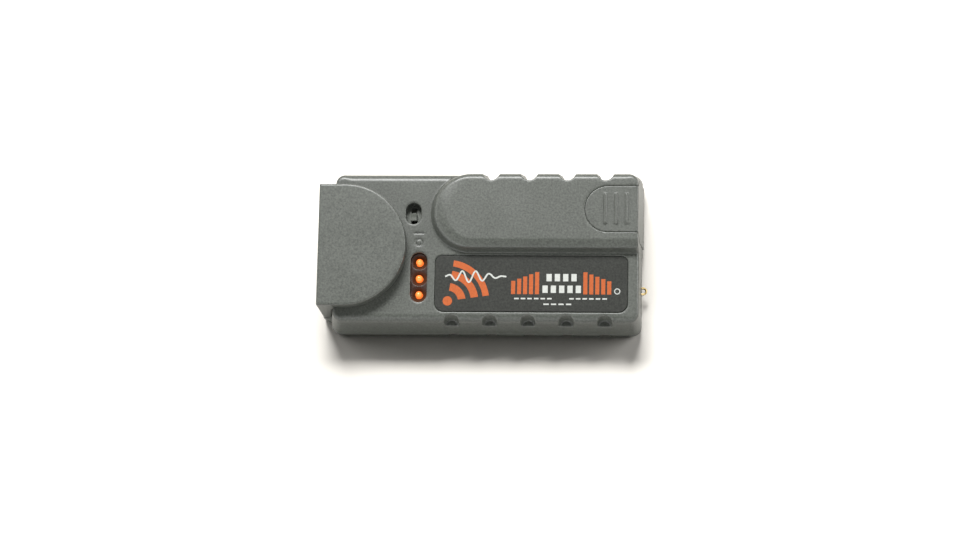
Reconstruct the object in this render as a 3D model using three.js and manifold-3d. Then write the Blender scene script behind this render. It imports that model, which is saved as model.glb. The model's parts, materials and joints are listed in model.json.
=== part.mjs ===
// A handheld infrared game finder: two moulded shells, a sensor hood, a grip hump that holds a
// 9 V battery behind a slide-off door, three indicator lamps and a slide switch.
//
// Frame: millimetres, +Z up. The origin is the centre of the flat underside. The sensor looks
// along -X, the battery door is at +X, and the battery hump runs along the +Y side.
import * as THREE from "three";
import { mergeVertices } from "three/addons/utils/BufferGeometryUtils.js";
import Module from "manifold-3d";

const wasm = await Module();
wasm.setup();

// ---------------------------------------------------------------- driving dimensions

const GAP = 0.3; // clearance between any two pieces
const WALL = 1.9;

const BODY = { x0: -69, x1: 69, y0: -36, y1: 36, corner: 4, parting: 6, top: 21.1 };
const LEAN = { side: 2.5, left: 1.7, right: 0.9 }; // how far each wall leans in by the shoulder
const SHOULDER = { side: 3.2, left: 1.0, right: 1.1, rise: 3.1 };

const HUMP = { x0: -24.2, x1: 69.3, y0: -2.2, y1: 36.1, top: 26.5, backCorner: 4.5 };
const HUMP_LEAN = 3.3; // of the back wall, from the parting line to the bevel
const BEVEL = { foot: 25.1, wall: 1.5, front: 4.3, left: 7.6, right: 2.0, back: 2.9 };

const HOOD = { x0: -73.5, x1: -34.6, halfWidth: 27.3, top: 27.6, flare: 1.6, undercut: 0.7 };
const NOSE = { x0: -72.9, tip: 29.0, root: 33.4 }; // the lower shell's lip under the hood

const PORT = { z: 15.9, radius: 8.7, flare: 1.6 };
const LENS = { radius: 8.3, x: -70.2, rim: 0.9, crown: 1.1 };
const SENSOR_BOARD = { x0: -41.6, x1: -40.1, z0: 5.2, z1: 20.6, halfWidth: 8.6 };

const FLUTE = { first: -14.3, pitch: 16.83, front: 5, back: 4, ledge: 14.7, foot: 2.9, mouth: 3.7,
  backing: 0.9 };
const BACK_FLUTE = { footY: 36.9, mouthY: 33, foot: 2.3, mouth: 3.8 }; // these run the full height

const LABEL = { x0: -22.0, x1: 63.2, y0: -28.9, y1: -3.4, corner: 3.3, depth: 0.8, thickness: 0.3 };
const LAMP_SLOT = { x: -29.1, y: -13.4, width: 7.3, length: 22.3 };
const LAMP = { count: 3, pitch: 7.27, radius: 1.5, flange: 1.65, top: 18.9 };
const SWITCH = { x: -32.0, y: 15.35, holeWidth: 6.8, holeLength: 9.5, travel: 2.7 };
const LEVER = { width: 2.8, length: 3.6, top: 19.5, neck: 2.0 };

const DOOR = { x0: 44.1, x1: 69.8, y: 16.5, radius: 10.3, halfWidth: 13.9, z0: 3.6, haunch: 20,
  plate: 1.6, panel: 2.3 };
const RIB = { first: 53.1, pitch: 4.7, count: 3, y0: 9.4, y1: 23.7, width: 1.9, height: 0.7 };

const BATTERY = { x0: 18.9, x1: 65.3, y0: 2.9, y1: 28.7, z0: 4.1, z1: 21.3, corner: 2.4 };
const BOARD = { x0: -37.4, x1: 56, y0: -30.4, yStep: -0.6, xStep: -25.6, y1: 30.2, z: 10.4, thickness: 1.6 };
const CASE_SCREWS = [[-54, -26.6], [-54, 26.6], [62, -27.2], [1, 26.4]];
const BOARD_SCREWS = [[-33.6, -26.4], [-33.6, 26.2], [51.5, -5.2]];
const LOOP = { y: -16.4, width: 4.1, reach: 71.5, wire: 0.45 };

const BOARD_TOP = BOARD.z + BOARD.thickness;
const SEAT = BOARD_TOP + GAP; // where a piece on the board starts

// ---------------------------------------------------------------- materials

const finish = (color, roughness, metalness = 0) =>
  new THREE.MeshStandardMaterial({ color, roughness, metalness });

const material = {
  shell: finish(0x7c807a, 0.62),
  door: finish(0x7d817b, 0.62),
  darkPlastic: finish(0x1f201f, 0.55),
  label: finish(0x464942, 0.5),
  lens: finish(0x1a1416, 0.12),
  lamp: finish(0xff6a1c, 0.25),
  brass: finish(0xb08d4a, 0.3, 1),
  steel: finish(0xb9bcc0, 0.35, 1),
  board: finish(0x1f6b3c, 0.5),
  ceramic: finish(0x23252a, 0.45),
  canBlue: finish(0x22355f, 0.4),
  trimmer: finish(0x2a5fae, 0.5),
  resistor: finish(0xc9a878, 0.55),
  battery: finish(0x1d1e20, 0.35, 0.4),
  redWire: finish(0xb3201c, 0.5),
  blackWire: finish(0x141414, 0.5),
  foam: finish(0x2b2b2c, 0.95),
};

// ---------------------------------------------------------------- solids

// A closed three.js geometry as a solid that can be joined and cut.
function solid(geometry) {
  const bare = geometry.clone();
  bare.deleteAttribute("normal");
  bare.deleteAttribute("uv");
  const merged = mergeVertices(bare, 1e-4);
  const index = merged.index.array;
  const triVerts = [];
  for (let i = 0; i < index.length; i += 3) {
    const [a, b, c] = index.slice(i, i + 3);
    if (a !== b && b !== c && c !== a) triVerts.push(a, b, c);
  }
  return new wasm.Manifold(
    new wasm.Mesh({
      numProp: 3,
      vertProperties: merged.attributes.position.array,
      triVerts: new Uint32Array(triVerts),
    }),
  );
}

function geometryOf(shape) {
  const mesh = shape.getMesh();
  const geometry = new THREE.BufferGeometry();
  geometry.setAttribute("position", new THREE.BufferAttribute(mesh.vertProperties, 3));
  geometry.setIndex(new THREE.BufferAttribute(mesh.triVerts, 1));
  geometry.computeVertexNormals();
  return geometry;
}

const join = (first, ...others) => others.reduce((sum, next) => sum.add(next), first);
const cut = (first, ...others) => others.reduce((rest, next) => rest.subtract(next), first);

function box(x0, x1, y0, y1, z0, z1) {
  const geometry = new THREE.BoxGeometry(x1 - x0, y1 - y0, z1 - z0);
  geometry.translate((x0 + x1) / 2, (y0 + y1) / 2, (z0 + z1) / 2);
  return solid(geometry);
}

// A cylinder or cone standing on z0; topX and topY move its upper end sideways.
function post(x, y, z0, z1, radius, { top = radius, sides = 20, topY = y } = {}) {
  const foot = circle(x, y, radius, sides);
  const head = circle(x, topY, top, sides);
  return loft([{ z: z0, points: foot }, { z: z1, points: head }]);
}

function circle(x, y, radius, sides) {
  return Array.from({ length: sides }, (_, i) => {
    const angle = (2 * Math.PI * i) / sides;
    return [x + radius * Math.cos(angle), y + radius * Math.sin(angle)];
  });
}

// A rectangle with its own radius at each corner, counter-clockwise from (x0, y0).
function outline(x0, x1, y0, y1, radii, steps = 5) {
  const r = Array.isArray(radii) ? radii : [radii, radii, radii, radii];
  const centres = [
    [x0 + r[0], y0 + r[0]],
    [x1 - r[1], y0 + r[1]],
    [x1 - r[2], y1 - r[2]],
    [x0 + r[3], y1 - r[3]],
  ];
  return centres.flatMap(([cx, cy], corner) =>
    Array.from({ length: steps + 1 }, (_, i) => {
      const angle = Math.PI + (Math.PI / 2) * (corner + i / steps);
      return [cx + r[corner] * Math.cos(angle), cy + r[corner] * Math.sin(angle)];
    }),
  );
}

// A solid through matching outlines, listed from the lowest to the highest.
function loft(rings) {
  const count = rings[0].points.length;
  const positions = rings.flatMap(({ z, points }) => points.flatMap(([x, y]) => [x, y, z]));
  const index = [];
  for (let level = 0; level + 1 < rings.length; level++) {
    for (let i = 0; i < count; i++) {
      const a = level * count + i;
      const b = level * count + ((i + 1) % count);
      index.push(a, b, b + count, a, b + count, a + count);
    }
  }
  const cap = (points) =>
    THREE.ShapeUtils.triangulateShape(points.map(([x, y]) => new THREE.Vector2(x, y)), []);
  for (const [a, b, c] of cap(rings[0].points)) index.push(a, c, b);
  const last = (rings.length - 1) * count;
  for (const [a, b, c] of cap(rings.at(-1).points)) index.push(last + a, last + b, last + c);
  const geometry = new THREE.BufferGeometry();
  geometry.setAttribute("position", new THREE.Float32BufferAttribute(positions, 3));
  geometry.setIndex(index);
  return solid(geometry);
}

const prism = (points, z0, z1) => loft([{ z: z0, points }, { z: z1, points }]);

// A slot with round ends that runs along Y.
function slot(x, y, width, length, z0, z1, spare = 0) {
  const w = width / 2 + spare;
  const l = length / 2 + spare;
  return prism(outline(x - w, x + w, y - l, y + l, w - 1e-3, 6), z0, z1);
}

// A flat outline given in Y and Z, extruded along X.
function alongX(points, x0, x1) {
  const geometry = new THREE.ExtrudeGeometry(
    new THREE.Shape(points.map(([y, z]) => new THREE.Vector2(y, z))),
    { depth: x1 - x0, bevelEnabled: false },
  );
  const [x, y, z] = [0, 1, 2].map((axis) => new THREE.Vector3().setComponent(axis, 1));
  geometry.applyMatrix4(new THREE.Matrix4().makeBasis(y, z, x));
  geometry.translate(x0, 0, 0);
  return solid(geometry);
}

// A turned solid whose axis is X: the profile is a list of [x, radius], and the axis height is z.
function turned(profile, z, { sides = 28, y = 0 } = {}) {
  const points = profile.map(([x, radius]) => new THREE.Vector2(radius, x));
  const geometry = new THREE.LatheGeometry(points, sides);
  geometry.rotateZ(-Math.PI / 2);
  geometry.translate(0, y, z);
  const made = solid(geometry);
  if (made.volume() > 0) return made;
  return solid(new THREE.LatheGeometry(points.reverse(), sides).rotateZ(-Math.PI / 2).translate(0, y, z));
}

// A turned solid whose axis is Z at (x, y): the profile is a list of [radius, z] from foot to head.
function upright(profile, x, y, sides = 16) {
  const points = profile.map(([radius, z]) => new THREE.Vector2(radius, z));
  const geometry = new THREE.LatheGeometry(points, sides);
  geometry.rotateX(Math.PI / 2);
  geometry.translate(x, y, 0);
  return solid(geometry);
}

// A round wire through a list of points.
function wire(points, radius, { steps = 18, sides = 8, tension = 0.5 } = {}) {
  const path = new THREE.CatmullRomCurve3(
    points.map((p) => new THREE.Vector3(...p)), false, "catmullrom", tension);
  const section = new THREE.Shape(
    circle(0, 0, radius, sides).map(([x, y]) => new THREE.Vector2(x, y)));
  return solid(new THREE.ExtrudeGeometry(section, { extrudePath: path, steps, bevelEnabled: false }));
}

// ---------------------------------------------------------------- group

const finder = new THREE.Group();

function add(name, shape, look) {
  const mesh = new THREE.Mesh(geometryOf(shape), look);
  mesh.name = name;
  finder.add(mesh);
  return mesh;
}

// ---------------------------------------------------------------- shell forms

// One ring of the body, from how far each wall has moved in.
function bodyRing(z, side, left, right, inset = 0) {
  const corner = Math.max(1.2, BODY.corner - inset);
  return {
    z,
    points: outline(
      BODY.x0 + left + inset,
      BODY.x1 - right - inset,
      BODY.y0 + side + inset,
      BODY.y1 - side - inset,
      corner,
      4,
    ),
  };
}

// The upper body: leaning walls, then a rounded shoulder up to the flat top.
function upperBody(z0, inset = 0) {
  const shoulder = BODY.top - inset - SHOULDER.rise;
  const share = (z0 - BODY.parting) / (shoulder - BODY.parting);
  const rings = [bodyRing(z0, LEAN.side * share, LEAN.left * share, LEAN.right * share, inset)];
  const steps = 4;
  for (let i = 0; i <= steps; i++) {
    const angle = (Math.PI / 2) * (i / steps);
    const inward = 1 - Math.cos(angle);
    rings.push(
      bodyRing(
        shoulder + SHOULDER.rise * Math.sin(angle),
        LEAN.side + SHOULDER.side * inward,
        LEAN.left + SHOULDER.left * inward,
        LEAN.right + SHOULDER.right * inward,
        inset,
      ),
    );
  }
  return loft(rings);
}

// The battery hump: a round left end, walls that lean in, then a shallow bevel that is widest at
// the left end, where it fades into the top.
function hump(z0, inset = 0, x1 = HUMP.x1) {
  const top = HUMP.top - inset;
  const lift = top - HUMP.top;
  const ring = (z, { front, left, right, back }) => {
    const y0 = HUMP.y0 + front + inset;
    const y1 = HUMP.y1 - back - inset;
    const round = (y1 - y0) / 2 - 1e-3;
    const radii = [round, 1.2, HUMP.backCorner - inset, round];
    return { z, points: outline(HUMP.x0 + left + inset, x1 - right - inset, y0, y1, radii, 8) };
  };
  // share 0 is the top of the walls and share 1 is the rim of the flat top
  const bevel = (share) => ring(
    BEVEL.foot + lift + (HUMP.top - BEVEL.foot) * Math.sin((Math.PI / 2) * share),
    {
      front: BEVEL.wall + (BEVEL.front - BEVEL.wall) * share,
      left: BEVEL.wall + (BEVEL.left - BEVEL.wall) * share ** 1.5,
      right: 0.8 + (BEVEL.right - 0.8) * share,
      back: HUMP_LEAN + BEVEL.back * (1 - Math.cos((Math.PI / 2) * share)),
    },
  );
  const share = (z0 - BODY.parting) / (BEVEL.foot - BODY.parting);
  return loft([
    ring(z0, { front: 0, left: 0, right: 0.2, back: HUMP_LEAN * share }),
    ring(BODY.top + lift, { front: 0.1, left: 0.1, right: 0.4, back: HUMP_LEAN * 0.78 }),
    ...[0, 1 / 3, 2 / 3, 1].map(bevel),
  ]);
}

// The finger grips. With skin above 0 they are the slightly larger forms that back each flute
// inside the wall.
const fluteX = (i) => FLUTE.first + i * FLUTE.pitch;

// The front flutes are short and half-round, and stop at a ledge above the parting line.
function frontFlutes(skin = 0) {
  return Array.from({ length: FLUTE.front }, (_, i) =>
    post(fluteX(i), BODY.y0 + 1.7, FLUTE.ledge - skin, BODY.top + 2, FLUTE.foot + skin, {
      top: FLUTE.mouth + skin,
      topY: BODY.y0 + 2.7,
    }));
}

// The back flutes lean with the wall and run through both shells.
function backFlutes(skin = 0) {
  return Array.from({ length: FLUTE.back }, (_, i) =>
    post(fluteX(i + FLUTE.front - FLUTE.back), BACK_FLUTE.footY, -1, HUMP.top + 1, BACK_FLUTE.foot + skin, {
      top: BACK_FLUTE.mouth + skin,
      topY: BACK_FLUTE.mouthY,
      sides: 28,
    }));
}

// ---------------------------------------------------------------- battery door

// The end panel's outline in Y and Z, extruded along X: straight sides, then haunches up to the
// tongue's width.
function doorPanel(x0, x1, spare) {
  const wide = DOOR.halfWidth + spare;
  const narrow = DOOR.radius + spare;
  const low = DOOR.z0 - spare;
  const high = HUMP.top + 1;
  const face = [[-wide, low], [wide, low], [wide, DOOR.haunch], [narrow, HUMP.top], [narrow, high],
    [-narrow, high], [-narrow, HUMP.top], [-wide, DOOR.haunch]];
  return alongX(face.map(([y, z]) => [DOOR.y + y, z]), x0, x1);
}

function doorTongue(z0, z1, spare, x1) {
  const r = DOOR.radius + spare;
  const radii = [r - 1e-3, 0.01, 0.01, r - 1e-3];
  return prism(outline(DOOR.x0 - spare, x1, DOOR.y - r, DOOR.y + r, radii, 9), z0, z1);
}

function batteryDoor() {
  const inside = DOOR.x1 - DOOR.panel;
  const skin = join(
    hump(BODY.parting + GAP / 2, 0, DOOR.x1),
    box(inside - 1, DOOR.x1, DOOR.y - DOOR.halfWidth, DOOR.y + DOOR.halfWidth, DOOR.z0, BODY.parting + 2),
  );
  const slab = join(
    doorTongue(HUMP.top - DOOR.plate, HUMP.top + 1, 0, DOOR.x1),
    doorPanel(inside, DOOR.x1 + 1, 0),
  ).intersect(skin);
  const ribs = Array.from({ length: RIB.count }, (_, i) => {
    const x = RIB.first + i * RIB.pitch;
    return prism(
      outline(x - RIB.width / 2, x + RIB.width / 2, RIB.y0, RIB.y1, RIB.width / 2 - 1e-3, 4),
      HUMP.top - 0.5, HUMP.top + RIB.height);
  });
  return join(slab, ...ribs);
}

// ---------------------------------------------------------------- shells

function upperShell() {
  const floor = BODY.parting + GAP / 2;
  const skin = join(upperBody(floor), hump(floor));
  const cavity = join(upperBody(floor - 1, WALL), hump(floor - 1, WALL));
  const bosses = CASE_SCREWS.map(([x, y]) => post(x, y, floor, HUMP.top - 1, 3.2));
  const bores = CASE_SCREWS.map(([x, y]) => post(x, y, floor - 1, 16.5, 1.65, { sides: 12 }));
  const bayWidth = PORT.radius + 1;
  const sensorBay = box(BODY.x0 - 2, SENSOR_BOARD.x1 + 0.5, -bayWidth, bayWidth, floor - 1, BODY.top + 2);
  const pegs = [-18, 18].map((y) => post(-50, y, BODY.top - 4, BODY.top + 1, 2.3, { sides: 12 }));
  const loopGap = box(65.5, 70, LOOP.y - 3.2, LOOP.y + 3.2, floor - 1, BODY.parting + 0.95);
  const labelSeat = prism(
    outline(LABEL.x0, LABEL.x1, LABEL.y0, LABEL.y1, LABEL.corner), BODY.top - LABEL.depth, BODY.top + 1);
  const backing = [...frontFlutes(FLUTE.backing), ...backFlutes(FLUTE.backing)];
  const inside = [...bosses, ...backing].map((form) => form.intersect(skin));
  const thinner = join(cut(skin, cavity), ...inside);
  return cut(
    thinner,
    ...bores,
    ...frontFlutes(),
    ...backFlutes(),
    ...pegs,
    sensorBay,
    loopGap,
    labelSeat,
    slot(LAMP_SLOT.x, LAMP_SLOT.y, LAMP_SLOT.width, LAMP_SLOT.length, BODY.top - 4, BODY.top + 1),
    slot(SWITCH.x, SWITCH.y, SWITCH.holeWidth, SWITCH.holeLength, BODY.top - 4, BODY.top + 1),
    doorTongue(HUMP.top - 3, HUMP.top + 1, GAP, BODY.x1 + 4),
    doorPanel(DOOR.x1 - DOOR.panel - 1.5, BODY.x1 + 4, GAP),
  );
}

function lowerShell() {
  const top = BODY.parting - GAP / 2;
  const edge = [[0, 2.4], [0.7, 1.1], [2.4, 0.3], [top, 0]];
  const nose = loft(edge.map(([z, inset]) => ({
    z,
    points: [
      [NOSE.x0 + inset, -NOSE.tip + inset],
      [-66, -NOSE.root + inset],
      [-66, NOSE.root - inset],
      [NOSE.x0 + inset, NOSE.tip - inset],
    ],
  })));
  const skin = join(loft(edge.map(([z, inset]) => bodyRing(z, inset, inset, inset))), nose);
  const cavity = loft([2, top + 1].map((z) => bodyRing(z, 0, 0, 0, WALL + 0.3)));
  const tubes = CASE_SCREWS.map(([x, y]) => post(x, y, 1, top, 4));
  const standoffs = BOARD_SCREWS.map(([x, y]) => post(x, y, 1, BOARD.z - GAP, 2.8, { sides: 14 }));
  const cradle = [6, 25.2].map((y) => box(16, 65.6, y - 0.9, y + 0.9, 1.5, BATTERY.z0 - GAP));
  const heads = CASE_SCREWS.map(([x, y]) => post(x, y, -1, 2.6, 3.1));
  const shafts = CASE_SCREWS.map(([x, y]) => post(x, y, -1, top + 1, 1.65, { sides: 12 }));
  const pilots = BOARD_SCREWS.map(([x, y]) => post(x, y, 2.5, BOARD.z + 1, 1.3, { sides: 12 }));
  const nicks = Array.from({ length: FLUTE.front }, (_, i) => post(fluteX(i), BODY.y0 - 1.1, -1, 4.4, 2.6));
  const backing = backFlutes(FLUTE.backing).map((form) => form.intersect(skin));
  return cut(
    join(cut(skin, cavity), ...tubes, ...standoffs, ...cradle, ...backing),
    ...heads,
    ...shafts,
    ...pilots,
    ...nicks,
    ...backFlutes(),
    doorPanel(DOOR.x1 - DOOR.panel - 1.5, BODY.x1 + 4, GAP),
    box(65.5, 70, LOOP.y - 3.2, LOOP.y + 3.2, BODY.parting - 0.95, top + 1),
  );
}

add("upper_shell", upperShell(), material.shell);
add("lower_shell", lowerShell(), material.shell);
add("battery_door", batteryDoor(), material.door);
add("door_pad", box(65.6, 67.2, 9.4, 21.8, 8, 17.5), material.foam);
add(
  "label_plate",
  prism(
    outline(LABEL.x0 + GAP, LABEL.x1 - GAP, LABEL.y0 + GAP, LABEL.y1 - GAP, LABEL.corner - GAP),
    BODY.top - LABEL.depth + GAP,
    BODY.top - LABEL.depth + GAP + LABEL.thickness,
  ),
  material.label,
);

// ---------------------------------------------------------------- sensor end

// The hood is a D-shaped cap on the top face with an end block that carries the lens port.
function sensorHood() {
  const seat = BODY.top + GAP;
  const capRing = (z, inset) => ({
    z,
    points: outline(
      HOOD.x0 + inset,
      HOOD.x1 - inset,
      -HOOD.halfWidth + inset,
      HOOD.halfWidth - inset,
      [0.6, HOOD.halfWidth - inset - 1e-3, HOOD.halfWidth - inset - 1e-3, 0.6],
      14,
    ),
  });
  const cap = loft([capRing(seat, 0), capRing(HOOD.top - 0.8, 0.15), capRing(HOOD.top, 0.8)]);
  const hollow = prism(
    outline(-66, HOOD.x1 - 1.8, -HOOD.halfWidth + 1.8, HOOD.halfWidth - 1.8, [1, 25.4, 25.4, 1], 12),
    seat - 1, HOOD.top - 1.8);
  const blockRing = (z, undercut, flare) => ({
    z,
    points: outline(
      HOOD.x0 + undercut, BODY.x0 + SHOULDER.rise, -HOOD.halfWidth - flare, HOOD.halfWidth + flare, 0.5, 1),
  });
  const floor = BODY.parting + GAP / 2;
  const block = cut(
    loft([blockRing(floor, HOOD.undercut, HOOD.flare), blockRing(HOOD.top - 1, 0, 0)]),
    upperBody(floor, -GAP),
  );
  const bore = turned([[-74, 0], [-74, PORT.radius + PORT.flare + 0.9], [-72.2, PORT.radius],
    [-60, PORT.radius], [-60, 0]], PORT.z);
  const pegs = [-18, 18].map((y) => post(-50, y, BODY.top - 2.6, HOOD.top - 1, 2, { sides: 12 }));
  return join(cut(join(cut(cap, hollow), block), bore), ...pegs);
}

add("sensor_hood", sensorHood(), material.shell);
const ringInner = LENS.radius - 1.1;
const ringOuter = PORT.radius - GAP;
add(
  "lens_ring",
  turned([[-71.7, ringInner], [-70.9, ringInner], [-70.9, ringOuter], [-71.7, ringOuter], [-71.7, ringInner]],
    PORT.z),
  material.darkPlastic,
);
add(
  "front_lens",
  turned([[LENS.x - LENS.crown + 0.4, 0], [LENS.x - 0.45, 5], [LENS.x, 7], [LENS.x, LENS.radius],
    [LENS.x + LENS.rim, LENS.radius], [LENS.x + LENS.rim, 0]], PORT.z),
  material.lens,
);
add(
  "optic_tube",
  turned([[-68.9, 7.6], [-47.4, 5.1], [-47.4, 5.9], [-66, 8.4], [-68.9, 8.4], [-68.9, 7.6]], PORT.z),
  material.darkPlastic,
);
add(
  "sensor_board",
  box(SENSOR_BOARD.x0, SENSOR_BOARD.x1, -SENSOR_BOARD.halfWidth, SENSOR_BOARD.halfWidth, SENSOR_BOARD.z0,
    SENSOR_BOARD.z1),
  material.board,
);
const canFoot = SENSOR_BOARD.x0 - GAP;
add(
  "pyro_sensor",
  turned([[canFoot - 4.3, 0], [canFoot - 4.3, 4.1], [canFoot - 0.9, 4.1], [canFoot - 0.9, 4.6], [canFoot, 4.6],
    [canFoot, 0]], PORT.z, { sides: 20 }),
  material.steel,
);
const filterBack = canFoot - 4.3 - GAP;
add("sensor_filter", box(filterBack - 0.4, filterBack, -2.5, 2.5, PORT.z - 2, PORT.z + 2), material.lens);

// ---------------------------------------------------------------- board and its components

function mainBoard() {
  const { x0, x1, y0, y1, xStep, yStep, z } = BOARD;
  const sheet = prism([[x0, y0], [x1, y0], [x1, yStep], [xStep, yStep], [xStep, y1], [x0, y1]], z, BOARD_TOP);
  const holes = BOARD_SCREWS.map(([x, y]) => post(x, y, z - 1, BOARD_TOP + 1, 1.3, { sides: 12 }));
  return cut(sheet, ...holes);
}

add("main_board", mainBoard(), material.board);

const lampY = (i) => LAMP_SLOT.y + (1 - i) * LAMP.pitch;

add(
  "lamp_holder",
  cut(
    slot(LAMP_SLOT.x, LAMP_SLOT.y, LAMP_SLOT.width + 0.8, LAMP_SLOT.length + 0.8, SEAT, LAMP.top - 0.7),
    ...Array.from({ length: LAMP.count }, (_, i) =>
      post(LAMP_SLOT.x, lampY(i), SEAT - 1, LAMP.top, LAMP.flange + GAP, { sides: 16 })),
  ),
  material.darkPlastic,
);
for (let i = 0; i < LAMP.count; i++) {
  const shoulder = LAMP.top - LAMP.radius;
  const dome = [0, 30, 60].map((deg) => {
    const angle = THREE.MathUtils.degToRad(deg);
    return [LAMP.radius * Math.cos(angle), shoulder + LAMP.radius * Math.sin(angle)];
  });
  const profile = [[0, SEAT], [LAMP.flange, SEAT], [LAMP.flange, SEAT + 1], [LAMP.radius, SEAT + 1], ...dome,
    [0, LAMP.top]];
  add(`indicator_lamp_${i + 1}`, upright(profile, LAMP_SLOT.x, lampY(i)), material.lamp);
}

const switchHalf = (LEVER.length + SWITCH.travel) / 2 + GAP;
add(
  "switch_body",
  cut(
    box(SWITCH.x - 2.4, SWITCH.x + 2.4, SWITCH.y - 5, SWITCH.y + 5, SEAT, 17.2),
    box(
      SWITCH.x - LEVER.neck / 2 - GAP,
      SWITCH.x + LEVER.neck / 2 + GAP,
      SWITCH.y - switchHalf,
      SWITCH.y + switchHalf,
      14.4,
      18,
    ),
  ),
  material.steel,
);
const leverY = SWITCH.y - SWITCH.travel / 2;
add(
  "switch_lever",
  join(
    box(SWITCH.x - LEVER.neck / 2, SWITCH.x + LEVER.neck / 2, leverY - LEVER.length / 2,
      leverY + LEVER.length / 2, 14.8, 18),
    box(SWITCH.x - LEVER.width / 2, SWITCH.x + LEVER.width / 2, leverY - LEVER.length / 2,
      leverY + LEVER.length / 2, 17.6, LEVER.top),
  ),
  material.darkPlastic,
);

add("amplifier_chip", box(-8, 1.8, -19.2, -12.8, SEAT, SEAT + 3.2), material.ceramic);
add("comparator_chip", box(12, 21.8, -19.2, -12.8, SEAT, SEAT + 3.2), material.ceramic);
add("filter_capacitor", upright([[0, SEAT], [2.5, SEAT], [2.5, SEAT + 6.2], [0, SEAT + 6.2]], 30, -10), material.canBlue);
add("supply_capacitor", upright([[0, SEAT], [3.1, SEAT], [3.1, SEAT + 6.2], [0, SEAT + 6.2]], 42, -18), material.canBlue);
add(
  "gain_trimmer",
  cut(box(-19.5, -13, -19.2, -12.6, SEAT, SEAT + 4.4), box(-18.4, -14.1, -16.3, -15.5, SEAT + 3.8, SEAT + 5)),
  material.trimmer,
);
for (let i = 0; i < 4; i++) {
  const x = -4 + i * 9;
  const y = -24.5;
  const length = 3.1;
  add(
    `resistor_${i + 1}`,
    turned([[x - length, 0], [x - length, 1], [x - 2.2, 1.15], [x + 2.2, 1.15], [x + length, 1], [x + length, 0]],
      SEAT + 1.2, { sides: 12, y }),
    material.resistor,
  );
}

// ---------------------------------------------------------------- battery and wiring

const postY = [8.9, 21.6];
const batteryMid = (BATTERY.z0 + BATTERY.z1) / 2;

function batteryCan() {
  const { y0, y1, z0, z1, corner, x0, x1 } = BATTERY;
  return alongX(outline(y0, y1, z0, z1, corner, 4), x0, x1);
}

add("battery_can", batteryCan(), material.battery);
const stud = (y, radius, name) =>
  add(name, turned([[16.4, 0], [16.4, radius], [18.6, radius], [18.6, 0]], batteryMid, { sides: 16, y }),
    material.steel);
stud(postY[0], 2.9, "battery_stud_positive");
stud(postY[1], 3.9, "battery_stud_negative");
add(
  "snap_connector",
  cut(
    box(12.6, 18.2, 4, 26.4, batteryMid - 5.4, batteryMid + 5.4),
    ...[[postY[0], 3.2], [postY[1], 4.2]].map(([y, radius]) =>
      turned([[16.1, 0], [16.1, radius], [19, radius], [19, 0]], batteryMid, { sides: 16, y })),
  ),
  material.darkPlastic,
);
add(
  "red_wire",
  wire([[12.2, 9, 17], [8, 8.6, 18.5], [0, 4, 18], [-6, -3.2, 16], [-7, -5, 12.6]], 0.6),
  material.redWire,
);
add(
  "black_wire",
  wire([[12.2, 20.6, 14], [7, 19, 17], [-4, 12, 18.6], [-11, 1, 16.6], [-11.5, -4, 12.6]], 0.6),
  material.blackWire,
);

// ---------------------------------------------------------------- fasteners and loop

// A pan-head screw: driven up from the underside when up is 1, down into the board when -1.
function screw(x, y, headZ, up, { head, headHeight, shaft, length }) {
  const neck = headZ + up * headHeight;
  const tip = neck + up * length;
  const profile = [[0, headZ], [head, headZ], [head, neck], [shaft, neck], [shaft, tip - up * 1.2], [0, tip]];
  const body = upright(up > 0 ? profile : profile.reverse(), x, y, 14);
  const drive = [[1.7, 0.35], [0.35, 1.7]].map(([a, b]) => {
    const scale = head / 2.7;
    const low = Math.min(headZ - up, headZ + up * 0.9);
    const high = Math.max(headZ - up, headZ + up * 0.9);
    return box(x - a * scale, x + a * scale, y - b * scale, y + b * scale, low, high);
  });
  return cut(body, ...drive);
}

CASE_SCREWS.forEach(([x, y], i) =>
  add(`case_screw_${i + 1}`, screw(x, y, 0.4, 1, { head: 2.7, headHeight: 1.8, shaft: 1.3, length: 12 }),
    material.steel));
BOARD_SCREWS.forEach(([x, y], i) =>
  add(`board_screw_${i + 1}`, screw(x, y, SEAT + 1.4, -1, { head: 2.1, headHeight: 1.4, shaft: 1, length: 7.5 }),
    material.steel));

const half = LOOP.width / 2 - LOOP.wire;
add(
  "lanyard_loop",
  wire([
    [66.4, LOOP.y - half - 0.5, BODY.parting],
    [68.2, LOOP.y - half, BODY.parting],
    [70.2, LOOP.y - half, BODY.parting],
    [LOOP.reach - LOOP.wire, LOOP.y, BODY.parting],
    [70.2, LOOP.y + half, BODY.parting],
    [68.2, LOOP.y + half, BODY.parting],
    [66.4, LOOP.y + half + 0.5, BODY.parting],
  ], LOOP.wire, { steps: 28 }),
  material.brass,
);

export default finder;
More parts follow.
